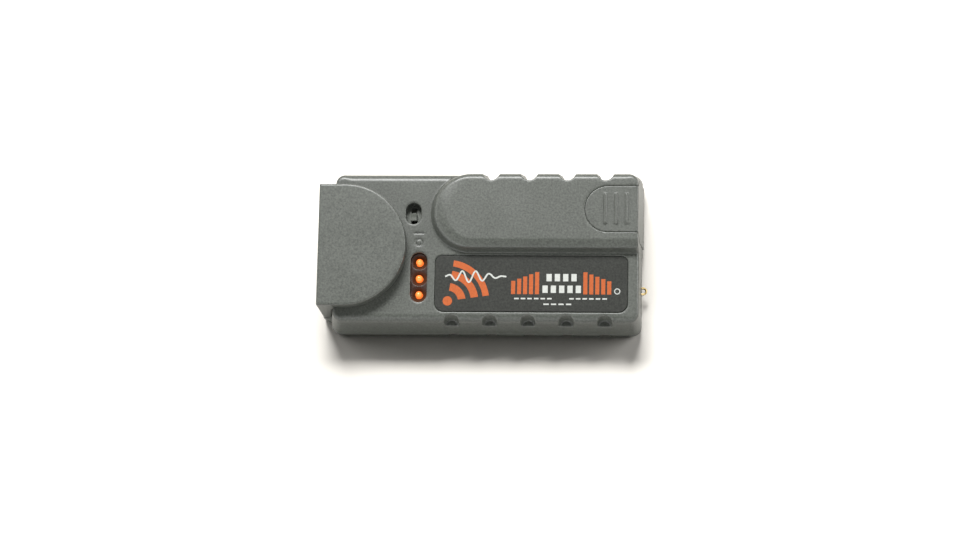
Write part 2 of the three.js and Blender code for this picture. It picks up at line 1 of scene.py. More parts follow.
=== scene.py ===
import json
import math
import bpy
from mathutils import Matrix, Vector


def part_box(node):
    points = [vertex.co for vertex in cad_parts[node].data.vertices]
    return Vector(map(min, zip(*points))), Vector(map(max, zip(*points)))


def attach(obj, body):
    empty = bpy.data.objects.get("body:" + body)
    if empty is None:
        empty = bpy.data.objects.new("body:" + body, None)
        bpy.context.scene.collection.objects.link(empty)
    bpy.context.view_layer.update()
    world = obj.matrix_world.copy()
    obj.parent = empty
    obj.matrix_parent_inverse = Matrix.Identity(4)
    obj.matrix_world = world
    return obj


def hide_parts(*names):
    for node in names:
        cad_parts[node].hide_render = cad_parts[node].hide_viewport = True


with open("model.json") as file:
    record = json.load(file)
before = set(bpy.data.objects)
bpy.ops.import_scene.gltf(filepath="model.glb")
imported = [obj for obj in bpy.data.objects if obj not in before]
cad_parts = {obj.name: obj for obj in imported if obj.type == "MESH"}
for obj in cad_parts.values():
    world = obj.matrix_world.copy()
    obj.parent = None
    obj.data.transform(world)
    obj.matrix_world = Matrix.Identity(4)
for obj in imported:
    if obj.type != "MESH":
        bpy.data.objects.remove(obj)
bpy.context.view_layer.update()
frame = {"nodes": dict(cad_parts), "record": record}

from types import SimpleNamespace as Values

import bmesh
import bpy
import numpy as np
from mathutils import Matrix, Vector

MM = 0.001
IMAGE_WIDTH = 978


# ---------------------------------------------------------------- sizes, in millimetres

def span(node):
    """A CAD node's box in millimetres, as x0, x1, y0, y1, z0, z1."""
    low, high = (np.array(corner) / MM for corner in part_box(node))
    return Values(x0=low[0], x1=high[0], y0=low[1], y1=high[1], z0=low[2], z1=high[2])


def middle(box):
    return (box.x0 + box.x1) / 2, (box.y0 + box.y1) / 2, (box.z0 + box.z1) / 2


UPPER = span("upper_shell")
LOWER = span("lower_shell")
HOOD = span("sensor_hood")
LABEL = span("label_plate")
DOOR = span("battery_door")
LENS = span("front_lens")
LENS_RING = span("lens_ring")
LAMPS = [span(f"indicator_lamp_{i}") for i in range(1, 4)]
LAMP_HOLDER = span("lamp_holder")
SWITCH_BODY = span("switch_body")
LEVER = span("switch_lever")
DOOR_PAD = span("door_pad")
BATTERY = span("battery_can")

SEAM = 0.13                      # visible gap between two moulded pieces
WALL = 1.9
PARTING = UPPER.z0 - 0.15        # height of the plane between the two shells
BODY_TOP = LABEL.z1 + 0.2        # the label lies this far below the flat face
CASE_X0 = UPPER.x0
CASE_X1 = 69.0
CASE_Y = 36.0
CORNER = 4.0
LEAN = Values(side=2.65, left=1.7, right=0.9)
SHOULDER = Values(side=2.8, end=1.3)

HUMP = Values(x0=-24.2, x1=69.3, y0=-2.2, y1=36.1, top=UPPER.z1, foot=25.1, back_foot=23.9,
              wall_lean=1.5, back_lean=3.35, right_lean=1.7, corner=1.2, back_corner=4.5)
BEVEL = Values(front=2.8, left=6.1)

FLUTE = Values(first=-14.3, pitch=16.83, front_y=-34.3, front_lean=1.0, ledge=14.7, foot=2.95, mouth=3.75)
BACK_FLUTE = Values(foot_y=36.9, mouth_y=33.0, foot=2.3, mouth=3.8)

TONGUE = Values(x0=DOOR.x0, y=(DOOR.y0 + DOOR.y1) / 2, radius=10.3, plate=1.6)
PANEL = Values(half_width=(DOOR.y1 - DOOR.y0) / 2, haunch=20.0, thickness=2.3, z0=DOOR.z0)
RIB = Values(first=53.1, pitch=4.7, count=3, y0=9.4, y1=23.7, radius=0.9, height=0.78)

PORT = Values(z=middle(LENS)[2], radius=8.7, mouth=-72.2, flare=1.3, back=-60.0)
NOSE = Values(x0=LOWER.x0, root_x=-66.0, tip=29.0, root=33.4, top=29.2, hem=0.8)
LOOP = span("lanyard_loop")
LOOP_Y = middle(LOOP)[1]
LOOP_GAP = Values(half_width=3.2, height=0.95, x0=65.5)

CASE_SCREW = Values(head=3.1, head_depth=2.6, bore=1.65, bore_top=16.5, upper_post=3.2, lower_post=4.0)
BOARD_SCREW = Values(post=2.8, pilot=1.3, pilot_floor=2.5)
FLUTE_BACKING = 0.9              # wall kept behind a flute


# ---------------------------------------------------------------- distance fields
# A field is negative inside a shape. A factor just under 1 keeps the slope of a leaning form near 1.

def round_max(a, b, radius):
    """Where both shapes are, with the edge between them rounded."""
    reach = np.hypot(np.maximum(a + radius, 0), np.maximum(b + radius, 0))
    return np.minimum(np.maximum(a, b), -radius) + reach


def round_min(a, b, radius):
    """Where either shape is, with a fillet between them."""
    return -round_max(-a, -b, radius)


def carve(shape, tool, radius):
    return round_max(shape, -tool, radius)


def plate(x, y, x0, x1, y0, y1, radius):
    """Distance in plan to a rectangle with round corners.

    Radius may be one per corner: front left, front right, back right, back left.
    """
    if isinstance(radius, tuple):
        front_left, front_right, back_right, back_left = radius
        right = x > (x0 + x1) / 2
        back = y > (y0 + y1) / 2
        radius = np.where(back, np.where(right, back_right, back_left),
                          np.where(right, front_right, front_left))
    across = np.abs(x - (x0 + x1) / 2) - (x1 - x0) / 2 + radius
    along = np.abs(y - (y0 + y1) / 2) - (y1 - y0) / 2 + radius
    outside = np.hypot(np.maximum(across, 0), np.maximum(along, 0))
    return outside + np.minimum(np.maximum(across, along), 0) - radius


def between(value, low, high):
    return np.maximum(low - value, value - high)


def pillars(x, y, centres, radius):
    """Distance in plan to the nearest of several round posts or bores."""
    return np.minimum.reduce([np.hypot(x - centre[0], y - centre[1]) for centre in centres]) - radius


def loop_gap(x, y, height):
    """Where the cord loop comes out; height is measured from the parting plane into a shell."""
    sides = np.maximum(np.abs(y - LOOP_Y) - LOOP_GAP.half_width, LOOP_GAP.x0 - x)
    return np.maximum(sides, height - LOOP_GAP.height)


def nearest_flute(x, first_index, last_index):
    """Sideways distance to the nearest of a row of flutes."""
    index = np.clip(np.round((x - FLUTE.first) / FLUTE.pitch), first_index, last_index)
    return x - FLUTE.first - index * FLUTE.pitch


# ---------------------------------------------------------------- the case's outer form

def body(x, y, z):
    """The leaning box under the hump, with a rounded shoulder round its flat top."""
    share = np.clip((z - PARTING) / (BODY_TOP - SHOULDER.side - PARTING), -0.1, 1.3)
    x0 = CASE_X0 + LEAN.left * share
    x1 = CASE_X1 - LEAN.right * share
    half_width = CASE_Y - LEAN.side * share
    side = plate(x, y, x0, x1, -half_width, half_width, CORNER)
    from_end = np.minimum(x - x0, x1 - x)
    radius = np.interp(from_end, [1, 7], [SHOULDER.end, SHOULDER.side])
    return round_max(side, z - BODY_TOP, radius)


def hump(x, y, z, x1=HUMP.x1):
    """The battery hump: leaning walls and a shallow bevel that is widest at the round left end."""
    lean = HUMP.wall_lean * np.clip((z - BODY_TOP) / (HUMP.foot - BODY_TOP), 0, 1.5)
    front = HUMP.y0 + lean
    back = HUMP.y1 - HUMP.back_lean * (z - PARTING) / (HUMP.back_foot - PARTING)
    right = x1 - HUMP.right_lean * (z - PARTING) / (HUMP.foot - PARTING)
    radius = (back - front) / 2
    centre_x = HUMP.x0 + lean + radius
    centre_y = (back + front) / 2
    corner = np.where(y > centre_y, HUMP.back_corner, HUMP.corner)
    long_part = plate(x, y, centre_x - radius, right, front, back, corner)
    round_end = np.hypot(x - centre_x, y - centre_y) - radius
    wall = np.where(x < centre_x, round_end, long_part)
    # 0 degrees faces the front, 90 the left and 180 the back
    turn = np.degrees(np.arctan2(np.maximum(centre_x - x, 0), centre_y - y))
    inset = np.where(x < centre_x, -round_end, y - front)
    width = np.interp(turn, [0, 90], [BEVEL.front, BEVEL.left])
    fade = np.interp(turn, [0, 45, 90], [1.0, 1.4, 2.0])
    drop = (HUMP.top - HUMP.foot) * np.interp(turn, [90, 170], [1, 0])
    roof = HUMP.top - drop * (1 - np.clip(inset / width, 0, 1)) ** fade
    edge = np.interp(turn, [0, 90, 180], [0.5, 1.2, 2.3])
    edge = np.minimum(edge, np.interp(right - x, [0, 5], [0.8, 2.3]))
    return round_max(wall, (z - roof) * 0.92, edge)


def hull(x, y, z):
    return round_min(body(x, y, z), hump(x, y, z), 0.35)


def front_flutes(x, y, z):
    """Short half-round finger grips that stop at a ledge."""
    share = (z - FLUTE.ledge) / (BODY_TOP + 2 - FLUTE.ledge)
    sideways = nearest_flute(x, 0, 4)
    cone = np.hypot(sideways, y - FLUTE.front_y - FLUTE.front_lean * share)
    cone = cone - FLUTE.foot - (FLUTE.mouth - FLUTE.foot) * share
    return round_max(cone * 0.97, FLUTE.ledge - z, 0.5)


def back_flutes(x, y, z):
    """Finger grips that lean with the back wall and run through both shells."""
    share = (z + 1) / (HUMP.top + 2)
    centre = BACK_FLUTE.foot_y + (BACK_FLUTE.mouth_y - BACK_FLUTE.foot_y) * share
    radius = BACK_FLUTE.foot + (BACK_FLUTE.mouth - BACK_FLUTE.foot) * share
    return (np.hypot(nearest_flute(x, 1, 4), y - centre) - radius) * 0.98


# ---------------------------------------------------------------- meshing

COARSE = 4                       # fine cells in a coarse one
MOST_TRIANGLES = 180000


def samples(low, high, cell):
    """Grid coordinates along one axis, a whole number of coarse steps long."""
    count = COARSE * int(math.ceil((high - low + 4 * cell) / (COARSE * cell))) + 1
    return low - 2.13 * cell + cell * np.arange(count)


def sampled(field, axes, cell):
    """The field on a fine grid, worked out only near its surface."""
    coarse = field(*np.meshgrid(*(axis[::COARSE] for axis in axes), indexing="ij"))
    near = np.abs(coarse) < 4.5 * cell
    for axis in range(3):
        near = near | np.roll(near, 1, axis) | np.roll(near, -1, axis)
    values = coarse
    for axis, fine in enumerate(axes):
        picked = (np.arange(len(fine)) + COARSE // 2) // COARSE
        values = np.take(values, picked, axis)
        near = np.take(near, picked, axis)
    x, y, z = (axis[index] for axis, index in zip(axes, np.nonzero(near)))
    values[near] = field(x, y, z)
    return values


def surface_net(values, origin, cell):
    """Vertices and quads of the zero surface of a sampled field."""
    points, rings = [], []
    for axis in range(3):
        lower, upper = [slice(None)] * 3, [slice(None)] * 3
        lower[axis], upper[axis] = slice(0, -1), slice(1, None)
        start, end = values[tuple(lower)], values[tuple(upper)]
        edge = np.argwhere((start < 0) != (end < 0))
        first, second = start[tuple(edge.T)], end[tuple(edge.T)]
        crossing = edge.astype(float)
        crossing[:, axis] += first / (first - second)
        side, other = (axis + 1) % 3, (axis + 2) % 3
        ring = []
        for step_side, step_other in ((0, 0), (-1, 0), (-1, -1), (0, -1)):
            neighbour = edge.copy()
            neighbour[:, side] += step_side
            neighbour[:, other] += step_other
            ring.append(np.ravel_multi_index(neighbour.T, values.shape))
        ring = np.stack(ring, 1)
        ring[first > 0] = ring[first > 0][:, ::-1]
        points.append(crossing)
        rings.append(ring)
    points, rings = np.concatenate(points), np.concatenate(rings)
    cells, quads = np.unique(rings, return_inverse=True)
    quads = quads.reshape(-1, 4)
    corners = quads.ravel()
    sums = [np.bincount(corners, np.repeat(points[:, k], 4), len(cells)) for k in range(3)]
    vertices = np.stack(sums, 1) / np.bincount(corners, minlength=len(cells))[:, None]
    return origin + vertices * cell, quads


def settled(field, vertices, cell):
    """Vertices moved on to the true surface."""
    step = 0.03
    for _ in range(3):
        value = field(*vertices.T)
        slope = np.stack([
            (field(*(vertices + step * unit).T) - field(*(vertices - step * unit).T)) / (2 * step)
            for unit in np.eye(3)], 1)
        size = np.maximum((slope ** 2).sum(1), 0.05)
        move = -slope * (value / size)[:, None]
        length = np.linalg.norm(move, axis=1)
        vertices = vertices + move * np.minimum(1, 0.4 * cell / np.maximum(length, 1e-9))[:, None]
    return vertices


def mesh_object(name, vertices, faces, material):
    """A smooth-shaded object from vertices in millimetres and faces of one size."""
    mesh = bpy.data.meshes.new(name)
    sides = faces.shape[1]
    mesh.vertices.add(len(vertices))
    mesh.vertices.foreach_set("co", (vertices * MM).astype(np.float32).ravel())
    mesh.loops.add(faces.size)
    mesh.loops.foreach_set("vertex_index", faces.astype(np.int32).ravel())
    mesh.polygons.add(len(faces))
    mesh.polygons.foreach_set("loop_start", np.arange(0, faces.size, sides, dtype=np.int32))
    mesh.update(calc_edges=True)
    mesh.validate()
    mesh.shade_smooth()
    mesh.materials.append(material)
    thing = bpy.data.objects.new(name, mesh)
    bpy.context.scene.collection.objects.link(thing)
    return thing


def thin_out(thing):
    """Fewer triangles on the flat areas, by an applied decimate modifier."""
    triangles = sum(len(face.vertices) - 2 for face in thing.data.polygons)
    if triangles <= MOST_TRIANGLES:
        return
    modifier = thing.modifiers.new("fewer", "DECIMATE")
    modifier.ratio = MOST_TRIANGLES / triangles
    bpy.context.view_layer.update()
    evaluated = thing.evaluated_get(bpy.context.evaluated_depsgraph_get())
    made = bpy.data.meshes.new_from_object(evaluated)
    thing.modifiers.clear()
    thing.data = made
    made.shade_smooth()


def moulded(name, field, box, cell, material):
    """A piece from a distance field, meshed inside a box of x0, x1, y0, y1, z0, z1."""
    spans = ((box.x0, box.x1), (box.y0, box.y1), (box.z0, box.z1))
    axes = [samples(low, high, cell) for low, high in spans]
    values = sampled(field, axes, cell)
    origin = np.array([axis[0] for axis in axes])
    vertices, quads = surface_net(values, origin, cell)
    vertices = settled(field, vertices, cell)
    thing = mesh_object(name, vertices, quads, material)
    thin_out(thing)
    return thing


def stand_for(thing, body_name, slot, *nodes):
    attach(thing, body_name)
    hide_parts(*nodes)


# ---------------------------------------------------------------- battery door

def tongue_plan(x, y, spare):
    """The door's top tongue in plan: straight sides and a half-round inner end."""
    centre_x = TONGUE.x0 + TONGUE.radius
    round_end = np.hypot(x - centre_x, y - TONGUE.y) - TONGUE.radius
    return np.where(x < centre_x, round_end, np.abs(y - TONGUE.y) - TONGUE.radius) - spare


def panel_face(y, z, spare):
    """The door's end panel seen along X: straight sides, then haunches up to the tongue."""
    half_width = np.interp(z, [PANEL.haunch, HUMP.top], [PANEL.half_width, TONGUE.radius])
    return round_max(np.abs(y - TONGUE.y) - half_width, PANEL.z0 - z, 0.8) - spare


def door_region(x, y, z, spare):
    """Everything the door may fill, grown by spare on the sides that face the case."""
    tongue = round_max(tongue_plan(x, y, spare), HUMP.top - TONGUE.plate - spare - z, 0.1)
    panel = np.maximum(panel_face(y, z, spare), DOOR.x1 - PANEL.thickness - spare - x)
    return round_min(tongue, panel, 0.4)


def ribs(x, y, z):
    """Three round-topped grip ribs across the tongue."""
    index = np.clip(np.round((x - RIB.first) / RIB.pitch), 0, RIB.count - 1)
    sideways = x - RIB.first - index * RIB.pitch
    ends = (RIB.y0 + RIB.radius, RIB.y1 - RIB.radius)
    along = y - np.clip(y, *ends)
    return np.sqrt(sideways ** 2 + along ** 2 + (z - HUMP.top - RIB.height + RIB.radius) ** 2) - RIB.radius


def door_field(x, y, z):
    """The door's outside follows the hump, but stands a little proud of it low down."""
    proud = (DOOR.x1 - HUMP.x1) * np.clip((HUMP.top - z) / (HUMP.top - PARTING), 0, 1)
    outside = hump(x, y, np.maximum(z, PARTING), HUMP.x1 + proud)
    shape = round_max(outside, door_region(x, y, z, 0), 0.2)
    return round_min(shape, ribs(x, y, z), 0.2)


# ---------------------------------------------------------------- upper shell

LAMP_SLOT = Values(x=middle(LAMP_HOLDER)[0], y=middle(LAMP_HOLDER)[1], half_width=3.65, half_length=11.15)
SWITCH = Values(x=middle(SWITCH_BODY)[0], y=middle(SWITCH_BODY)[1], half_width=3.4, half_length=4.75,
                hole_floor=8.0)
MARK = Values(x=-29.3, ring_y=2.3, ring=1.55, bar_y=6.4, bar=1.9, groove=0.36)
LABEL_RIM = Values(clearance=0.3, corner=(4.2, 4.2, 3.2, 3.2), depth=0.8)
SENSOR_BAY = Values(half_width=PORT.radius + 1, x1=-39.6)
CASE_SCREWS = [middle(span(f"case_screw_{i}"))[:2] for i in range(1, 5)]


def long_slot(x, y, slot, spare=0.0):
    """A slot with round ends that runs along Y."""
    half_width = slot.half_width + spare
    straight = slot.half_length - slot.half_width
    along = np.abs(y - slot.y) - straight
    return np.hypot(x - slot.x, np.maximum(along, 0)) - half_width


def power_marks(x, y, z):
    """Engraved marks beside the switch: a ring for off and a bar for on."""
    depth = z - BODY_TOP
    ring = np.hypot(np.hypot(x - MARK.x, (y - MARK.ring_y) * 1.1) - MARK.ring, depth)
    bar = np.hypot(np.hypot(np.maximum(np.abs(x - MARK.x) - MARK.bar, 0), y - MARK.bar_y), depth)
    return np.minimum(ring, bar) - MARK.groove


def label_seat(x, y, z):
    grow = LABEL_RIM.clearance
    outline = plate(x, y, LABEL.x0 - grow, LABEL.x1 + grow, LABEL.y0 - grow, LABEL.y1 + grow,
                    LABEL_RIM.corner)
    return round_max(outline, BODY_TOP - LABEL_RIM.depth - z, 0.1)


def upper_field(x, y, z):
    outside = hull(x, y, z)
    flutes = np.minimum(front_flutes(x, y, z), back_flutes(x, y, z))
    inside = np.maximum(outside + WALL, -(flutes - FLUTE_BACKING))
    inside = round_max(inside, -pillars(x, y, CASE_SCREWS, CASE_SCREW.upper_post), 0.4)
    shape = np.maximum(outside, -inside)
    shape = round_max(shape, PARTING + SEAM / 2 - z, 0.3)
    shape = carve(shape, flutes, 0.45)
    bores = np.maximum(pillars(x, y, CASE_SCREWS, CASE_SCREW.bore), z - CASE_SCREW.bore_top)
    shape = np.maximum(shape, -bores)
    shape = carve(shape, long_slot(x, y, LAMP_SLOT), 0.55)
    shape = carve(shape, np.maximum(long_slot(x, y, SWITCH), SWITCH.hole_floor - z), 0.5)
    shape = carve(shape, label_seat(x, y, z), 0.3)
    shape = carve(shape, power_marks(x, y, z), 0.12)
    shape = carve(shape, door_region(x, y, z, SEAM), 0.15)
    bay = np.maximum(np.abs(y) - SENSOR_BAY.half_width, x - SENSOR_BAY.x1)
    return np.maximum(shape, -np.minimum(bay, loop_gap(x, y, z - PARTING)))


# ---------------------------------------------------------------- lower shell

BOARD_SCREWS = [middle(span(f"board_screw_{i}"))[:2] for i in range(1, 4)]
FLOOR = 2.0
CRADLE = Values(y=15.6, half_gap=9.6, half_wall=0.9, x0=16.0, x1=65.6, top=3.8)
NICK = Values(y=-CASE_Y - 1.1, radius=2.6, top=4.4)


def nose(x, y, z):
    """The lip that reaches out under the sensor hood; its sides slope in to the hood's width."""
    foot = NOSE.tip + (x - NOSE.x0) * (NOSE.root - NOSE.tip) / (NOSE.root_x - NOSE.x0)
    half_width = foot + (NOSE.top - foot) * np.clip((z - NOSE.hem) / (PARTING - NOSE.hem), 0, 1)
    plan = np.maximum(round_max((np.abs(y) - half_width) * 0.8, NOSE.x0 - x, 0.6), x - NOSE.root_x)
    return round_max(plan, -z, 1.8)


def lower_field(x, y, z):
    plan = plate(x, y, CASE_X0, CASE_X1, -CASE_Y, CASE_Y, CORNER)
    outside = round_min(round_max(plan, -z, 2.2), nose(x, y, z), 0.3)
    hollow = round_max(plan + WALL + 0.3, FLOOR - z, 1.0)
    flutes = back_flutes(x, y, z)
    hollow = np.maximum(hollow, -(flutes - FLUTE_BACKING))
    tubes = np.maximum(pillars(x, y, CASE_SCREWS, CASE_SCREW.lower_post), z - PARTING + 0.15)
    standoffs = np.maximum(pillars(x, y, BOARD_SCREWS, BOARD_SCREW.post), z - LOWER.z1)
    cradle = np.abs(np.abs(y - CRADLE.y) - CRADLE.half_gap) - CRADLE.half_wall
    cradle = np.maximum(np.maximum(cradle, between(x, CRADLE.x0, CRADLE.x1)), z - CRADLE.top)
    lid = round_max(np.maximum(outside, -hollow), z - PARTING + SEAM / 2, 0.3)
    inner = np.maximum(np.minimum(np.minimum(tubes, standoffs), cradle), FLOOR - 0.5 - z)
    shape = round_min(lid, inner, 0.3)
    heads = np.maximum(pillars(x, y, CASE_SCREWS, CASE_SCREW.head), z - CASE_SCREW.head_depth)
    shape = carve(shape, heads, 0.35)
    pilots = np.maximum(pillars(x, y, BOARD_SCREWS, BOARD_SCREW.pilot), BOARD_SCREW.pilot_floor - z)
    shape = np.maximum(shape, -np.minimum(pillars(x, y, CASE_SCREWS, CASE_SCREW.bore), pilots))
    nick = np.hypot(nearest_flute(x, 0, 4), y - NICK.y) - NICK.radius
    shape = carve(shape, np.minimum(flutes, np.maximum(nick, z - NICK.top)), 0.4)
    shape = carve(shape, door_region(x, y, z, SEAM), 0.15)
    return np.maximum(shape, -loop_gap(x, y, PARTING - z))


# ---------------------------------------------------------------- sensor hood

HOOD_CAP = Values(half_width=27.3, flare=1.6, undercut=0.7, skin=1.8, hollow_x0=-66.0)
HOOD_PEG = Values(x=-50.0, y=18.0, radius=2.0, depth=2.6)


def hood_field(x, y, z):
    """A D-shaped cap with an end block that carries the port."""
    drop = (HOOD.z1 - z) / (HOOD.z1 - PARTING)
    radius = HOOD_CAP.half_width
    centre_x = HOOD.x1 - radius
    sides = np.where(x > centre_x, np.hypot(x - centre_x, y) - radius, np.abs(y) - radius)
    left = HOOD.x0 + HOOD_CAP.undercut * drop - x
    cap = np.maximum(sides, BODY_TOP + SEAM - z)
    block = np.maximum(np.abs(y) - radius - HOOD_CAP.flare * drop, x - CASE_X0 - 3)
    walls = round_max(np.minimum(cap, block), left, 0.5)
    shape = round_max(walls, z - HOOD.z1, 0.75)
    shape = np.maximum(shape, PARTING + SEAM / 2 - z)
    shape = carve(shape, body(x, y, z) - SEAM, 0.15)
    skin = HOOD_CAP.skin
    hollow = np.maximum(np.maximum(sides + skin, HOOD_CAP.hollow_x0 - x), z - HOOD.z1 + skin)
    shape = np.maximum(shape, -hollow)
    across = np.hypot(y, z - PORT.z)
    bore = across - PORT.radius - PORT.flare * np.maximum(PORT.mouth - x, 0)
    shape = carve(shape, np.maximum(bore * 0.8, x - PORT.back), 0.3)
    pegs = np.hypot(np.abs(y) - HOOD_PEG.y, x - HOOD_PEG.x) - HOOD_PEG.radius
    return np.minimum(shape, np.maximum(np.maximum(pegs, BODY_TOP - HOOD_PEG.depth - z), z - HOOD.z1 + 1))


# ---------------------------------------------------------------- small moulded and metal parts

LAMP_STEM = 1.5
LAMP_DISH = Values(radius=1.8, flare=1.1, depth=1.6)
SWITCH_COVER = Values(half_width=3.9, half_length=6.4, thickness=0.6, dimple_y=4.2, dimple=0.5)
SWITCH_WINDOW = Values(half_length=3.4, depth=1.0)
LEVER_HEAD = Values(z0=17.6, neck_top=18.4, neck_half_width=1.0, dish=3.8, dish_rise=3.6)
LENS_FACE = Values(radius=8.3, crown=0.9, ring_pitch=0.9, ring_step=0.12)
BEZEL = Values(outer=8.4, inner=7.5, lean=0.5)


def grown(box, margin):
    return Values(x0=box.x0 - margin, x1=box.x1 + margin, y0=box.y0 - margin, y1=box.y1 + margin,
                  z0=box.z0 - margin, z1=box.z1 + margin)


def block(x, y, z, box, radius):
    """A rectangular block with every edge rounded."""
    plan = plate(x, y, box.x0, box.x1, box.y0, box.y1, radius)
    return round_max(plan, between(z, box.z0, box.z1), radius)


def lamp_field(box):
    """A clear lamp: a flange, a round stem and a domed top."""
    centre = middle(box)

    def field(x, y, z):
        across = np.hypot(x - centre[0], y - centre[1])
        rise = np.maximum(z - box.z1 + LAMP_STEM, 0)
        dome = np.maximum(np.hypot(across, rise) - LAMP_STEM, box.z0 - z)
        flange = round_max(across - (box.x1 - box.x0) / 2, between(z, box.z0, box.z0 + 1), 0.15)
        return round_min(dome, flange, 0.15)

    return field


def holder_field(x, y, z):
    """The strip the lamps stand in, with a dished reflector round each lamp."""
    outline = long_slot(x, y, LAMP_SLOT, 0.4)
    shape = round_max(outline, between(z, LAMP_HOLDER.z0, LAMP_HOLDER.z1), 0.3)
    for lamp in LAMPS:
        across = np.hypot(x - middle(lamp)[0], y - middle(lamp)[1])
        rise = np.clip(z - LAMP_HOLDER.z1 + LAMP_DISH.depth, 0, 2)
        dish = across - LAMP_DISH.radius - LAMP_DISH.flare * rise
        shape = carve(shape, dish * 0.8, 0.15)
    return shape


def switch_field(x, y, z):
    """A switch case and its cover plate, with a lengthwise window for the lever."""
    shape = block(x, y, z, SWITCH_BODY, 0.45)
    top = SWITCH_BODY.z1
    half = SWITCH_WINDOW.half_length
    window = plate(x, y, LEVER.x0 + 0.15, LEVER.x1 - 0.15, SWITCH.y - half, SWITCH.y + half, 0.3)
    shape = carve(shape, np.maximum(window, top - SWITCH_WINDOW.depth - z), 0.15)
    width, length = SWITCH_COVER.half_width, SWITCH_COVER.half_length
    cover = plate(x, y, SWITCH.x - width, SWITCH.x + width, SWITCH.y - length, SWITCH.y + length, 0.8)
    cover = np.maximum(cover, between(z, top - SWITCH_COVER.thickness, top))
    shape = round_min(shape, np.maximum(cover, -window), 0.2)
    dimples = np.hypot(np.hypot(x - SWITCH.x, np.abs(y - SWITCH.y) - SWITCH_COVER.dimple_y), z - top)
    return carve(shape, dimples - SWITCH_COVER.dimple, 0.1)


def lever_field(x, y, z):
    """A sliding finger lever with a dished top on a narrow neck."""
    plan = plate(x, y, LEVER.x0, LEVER.x1, LEVER.y0, LEVER.y1, 0.5)
    head = np.maximum(round_max(plan, z - LEVER.z1, 0.45), LEVER_HEAD.z0 - z)
    half = LEVER_HEAD.neck_half_width
    neck = plate(x, y, SWITCH.x - half, SWITCH.x + half, LEVER.y0, LEVER.y1, 0.3)
    neck = np.maximum(neck, between(z, SWITCH_BODY.z1 - 0.8, LEVER_HEAD.neck_top))
    shape = round_min(head, neck, 0.15)
    dish = np.hypot(y - middle(LEVER)[1], z - LEVER.z1 - LEVER_HEAD.dish_rise) - LEVER_HEAD.dish
    return carve(shape, dish, 0.2)


def pad_field(x, y, z):
    """Soft foam: a block whose faces wander a little."""
    wander = 0.06 * np.sin(1.9 * y + 0.7 * z) * np.cos(1.3 * z - 0.5 * y)
    return block(x, y, z, grown(DOOR_PAD, -0.08), 0.35) + wander


def battery_field(x, y, z):
    """A 9 V battery: a can with a rolled rim and a pressed-in plate at each end."""
    outline = plate(y, z, BATTERY.y0, BATTERY.y1, BATTERY.z0, BATTERY.z1, 2.4)
    from_end = np.minimum(x - BATTERY.x0, BATTERY.x1 - x)
    waist = 0.25 * np.clip(from_end - 1.2, 0, 1)
    shape = round_max(outline + waist, -from_end, 0.5)
    return carve(shape, np.maximum(outline + 1.2, from_end - 0.5), 0.2)


def cross_recess(x, y, reach):
    """Plan of a cross drive, in a screw's own axes."""
    arm = np.maximum(np.abs(x) - reach, np.abs(y) - 0.35)
    other = np.maximum(np.abs(y) - reach, np.abs(x) - 0.35)
    return np.minimum(arm, other)


def screw_field(box, head_up, head_height):
    """A pan-head screw with a cross drive and a raised thread."""
    centre = middle(box)
    radius = (box.x1 - box.x0) / 2

    def field(x, y, z):
        depth = box.z1 - z if head_up else z - box.z0
        across = np.hypot(x - centre[0], y - centre[1])
        head = round_max(across - radius, between(depth, 0, head_height), 0.45)
        turn = np.arctan2(y - centre[1], x - centre[0]) / math.tau
        thread = np.abs((depth / 0.9 + turn) % 1 - 0.5) * 2
        tip = np.maximum(depth - (box.z1 - box.z0) + 1.2, 0)
        shaft = across - 0.42 * radius - 0.16 * thread + tip * 0.6
        shaft = np.maximum(shaft * 0.9, between(depth, 0.5, box.z1 - box.z0))
        shape = round_min(head, shaft, 0.15)
        drive = cross_recess(x - centre[0], y - centre[1], 0.62 * radius) + depth * 0.25
        return carve(shape, np.maximum(drive, depth - 0.95), 0.08)

    return field


def lens_field(x, y, z):
    """A thin collecting lens with shallow ring steps moulded in its face."""
    across = np.hypot(y, z - PORT.z)
    step = LENS_FACE.ring_step * ((across / LENS_FACE.ring_pitch) % 1)
    face = LENS.x0 + LENS_FACE.crown * (across / LENS_FACE.radius) ** 2 + step
    return round_max(across - LENS_FACE.radius, np.maximum((face - x) * 0.9, x - LENS.x1), 0.1)


def lens_ring_field(x, y, z):
    """The bevelled bezel in front of the lens."""
    across = np.hypot(y, z - PORT.z)
    inner = BEZEL.inner + BEZEL.lean * (LENS_RING.x1 - x)
    walls = np.maximum(across - BEZEL.outer, (inner - across) * 0.9)
    return round_max(walls, between(x, LENS_RING.x0, LENS_RING.x1), 0.15)


def loop_field(x, y, z):
    """A bent wire loop for a wrist cord; its legs run back into the case."""
    wire, half = 0.5, 1.35
    tip = LOOP.x1 - wire - half
    bend = np.hypot(np.hypot(np.maximum(x - tip, 0), y - LOOP_Y) - half, z - PARTING)
    legs = np.hypot(np.abs(y - LOOP_Y) - half, z - PARTING)
    return np.maximum(np.where(x > tip, bend, legs) - wire, LOOP.x0 - x)


# ---------------------------------------------------------------- label and its print

INK = 0.04                       # how far the print stands above the label


def outline(box, back_radius, front_radius):
    """Points round a rectangle with round corners, seen from above."""
    steps = 10
    corners = ((box.x1, box.y1), (box.x0, box.y1), (box.x0, box.y0), (box.x1, box.y0))
    points = []
    for quarter, (corner_x, corner_y) in enumerate(corners):
        radius = back_radius if quarter < 2 else front_radius
        centre_x = corner_x - math.copysign(radius, corner_x - middle(box)[0])
        centre_y = corner_y - math.copysign(radius, corner_y - middle(box)[1])
        for step in range(steps + 1):
            angle = math.radians(90 * (quarter + step / steps))
            points.append((centre_x + radius * math.cos(angle), centre_y + radius * math.sin(angle)))
    return np.array(points)


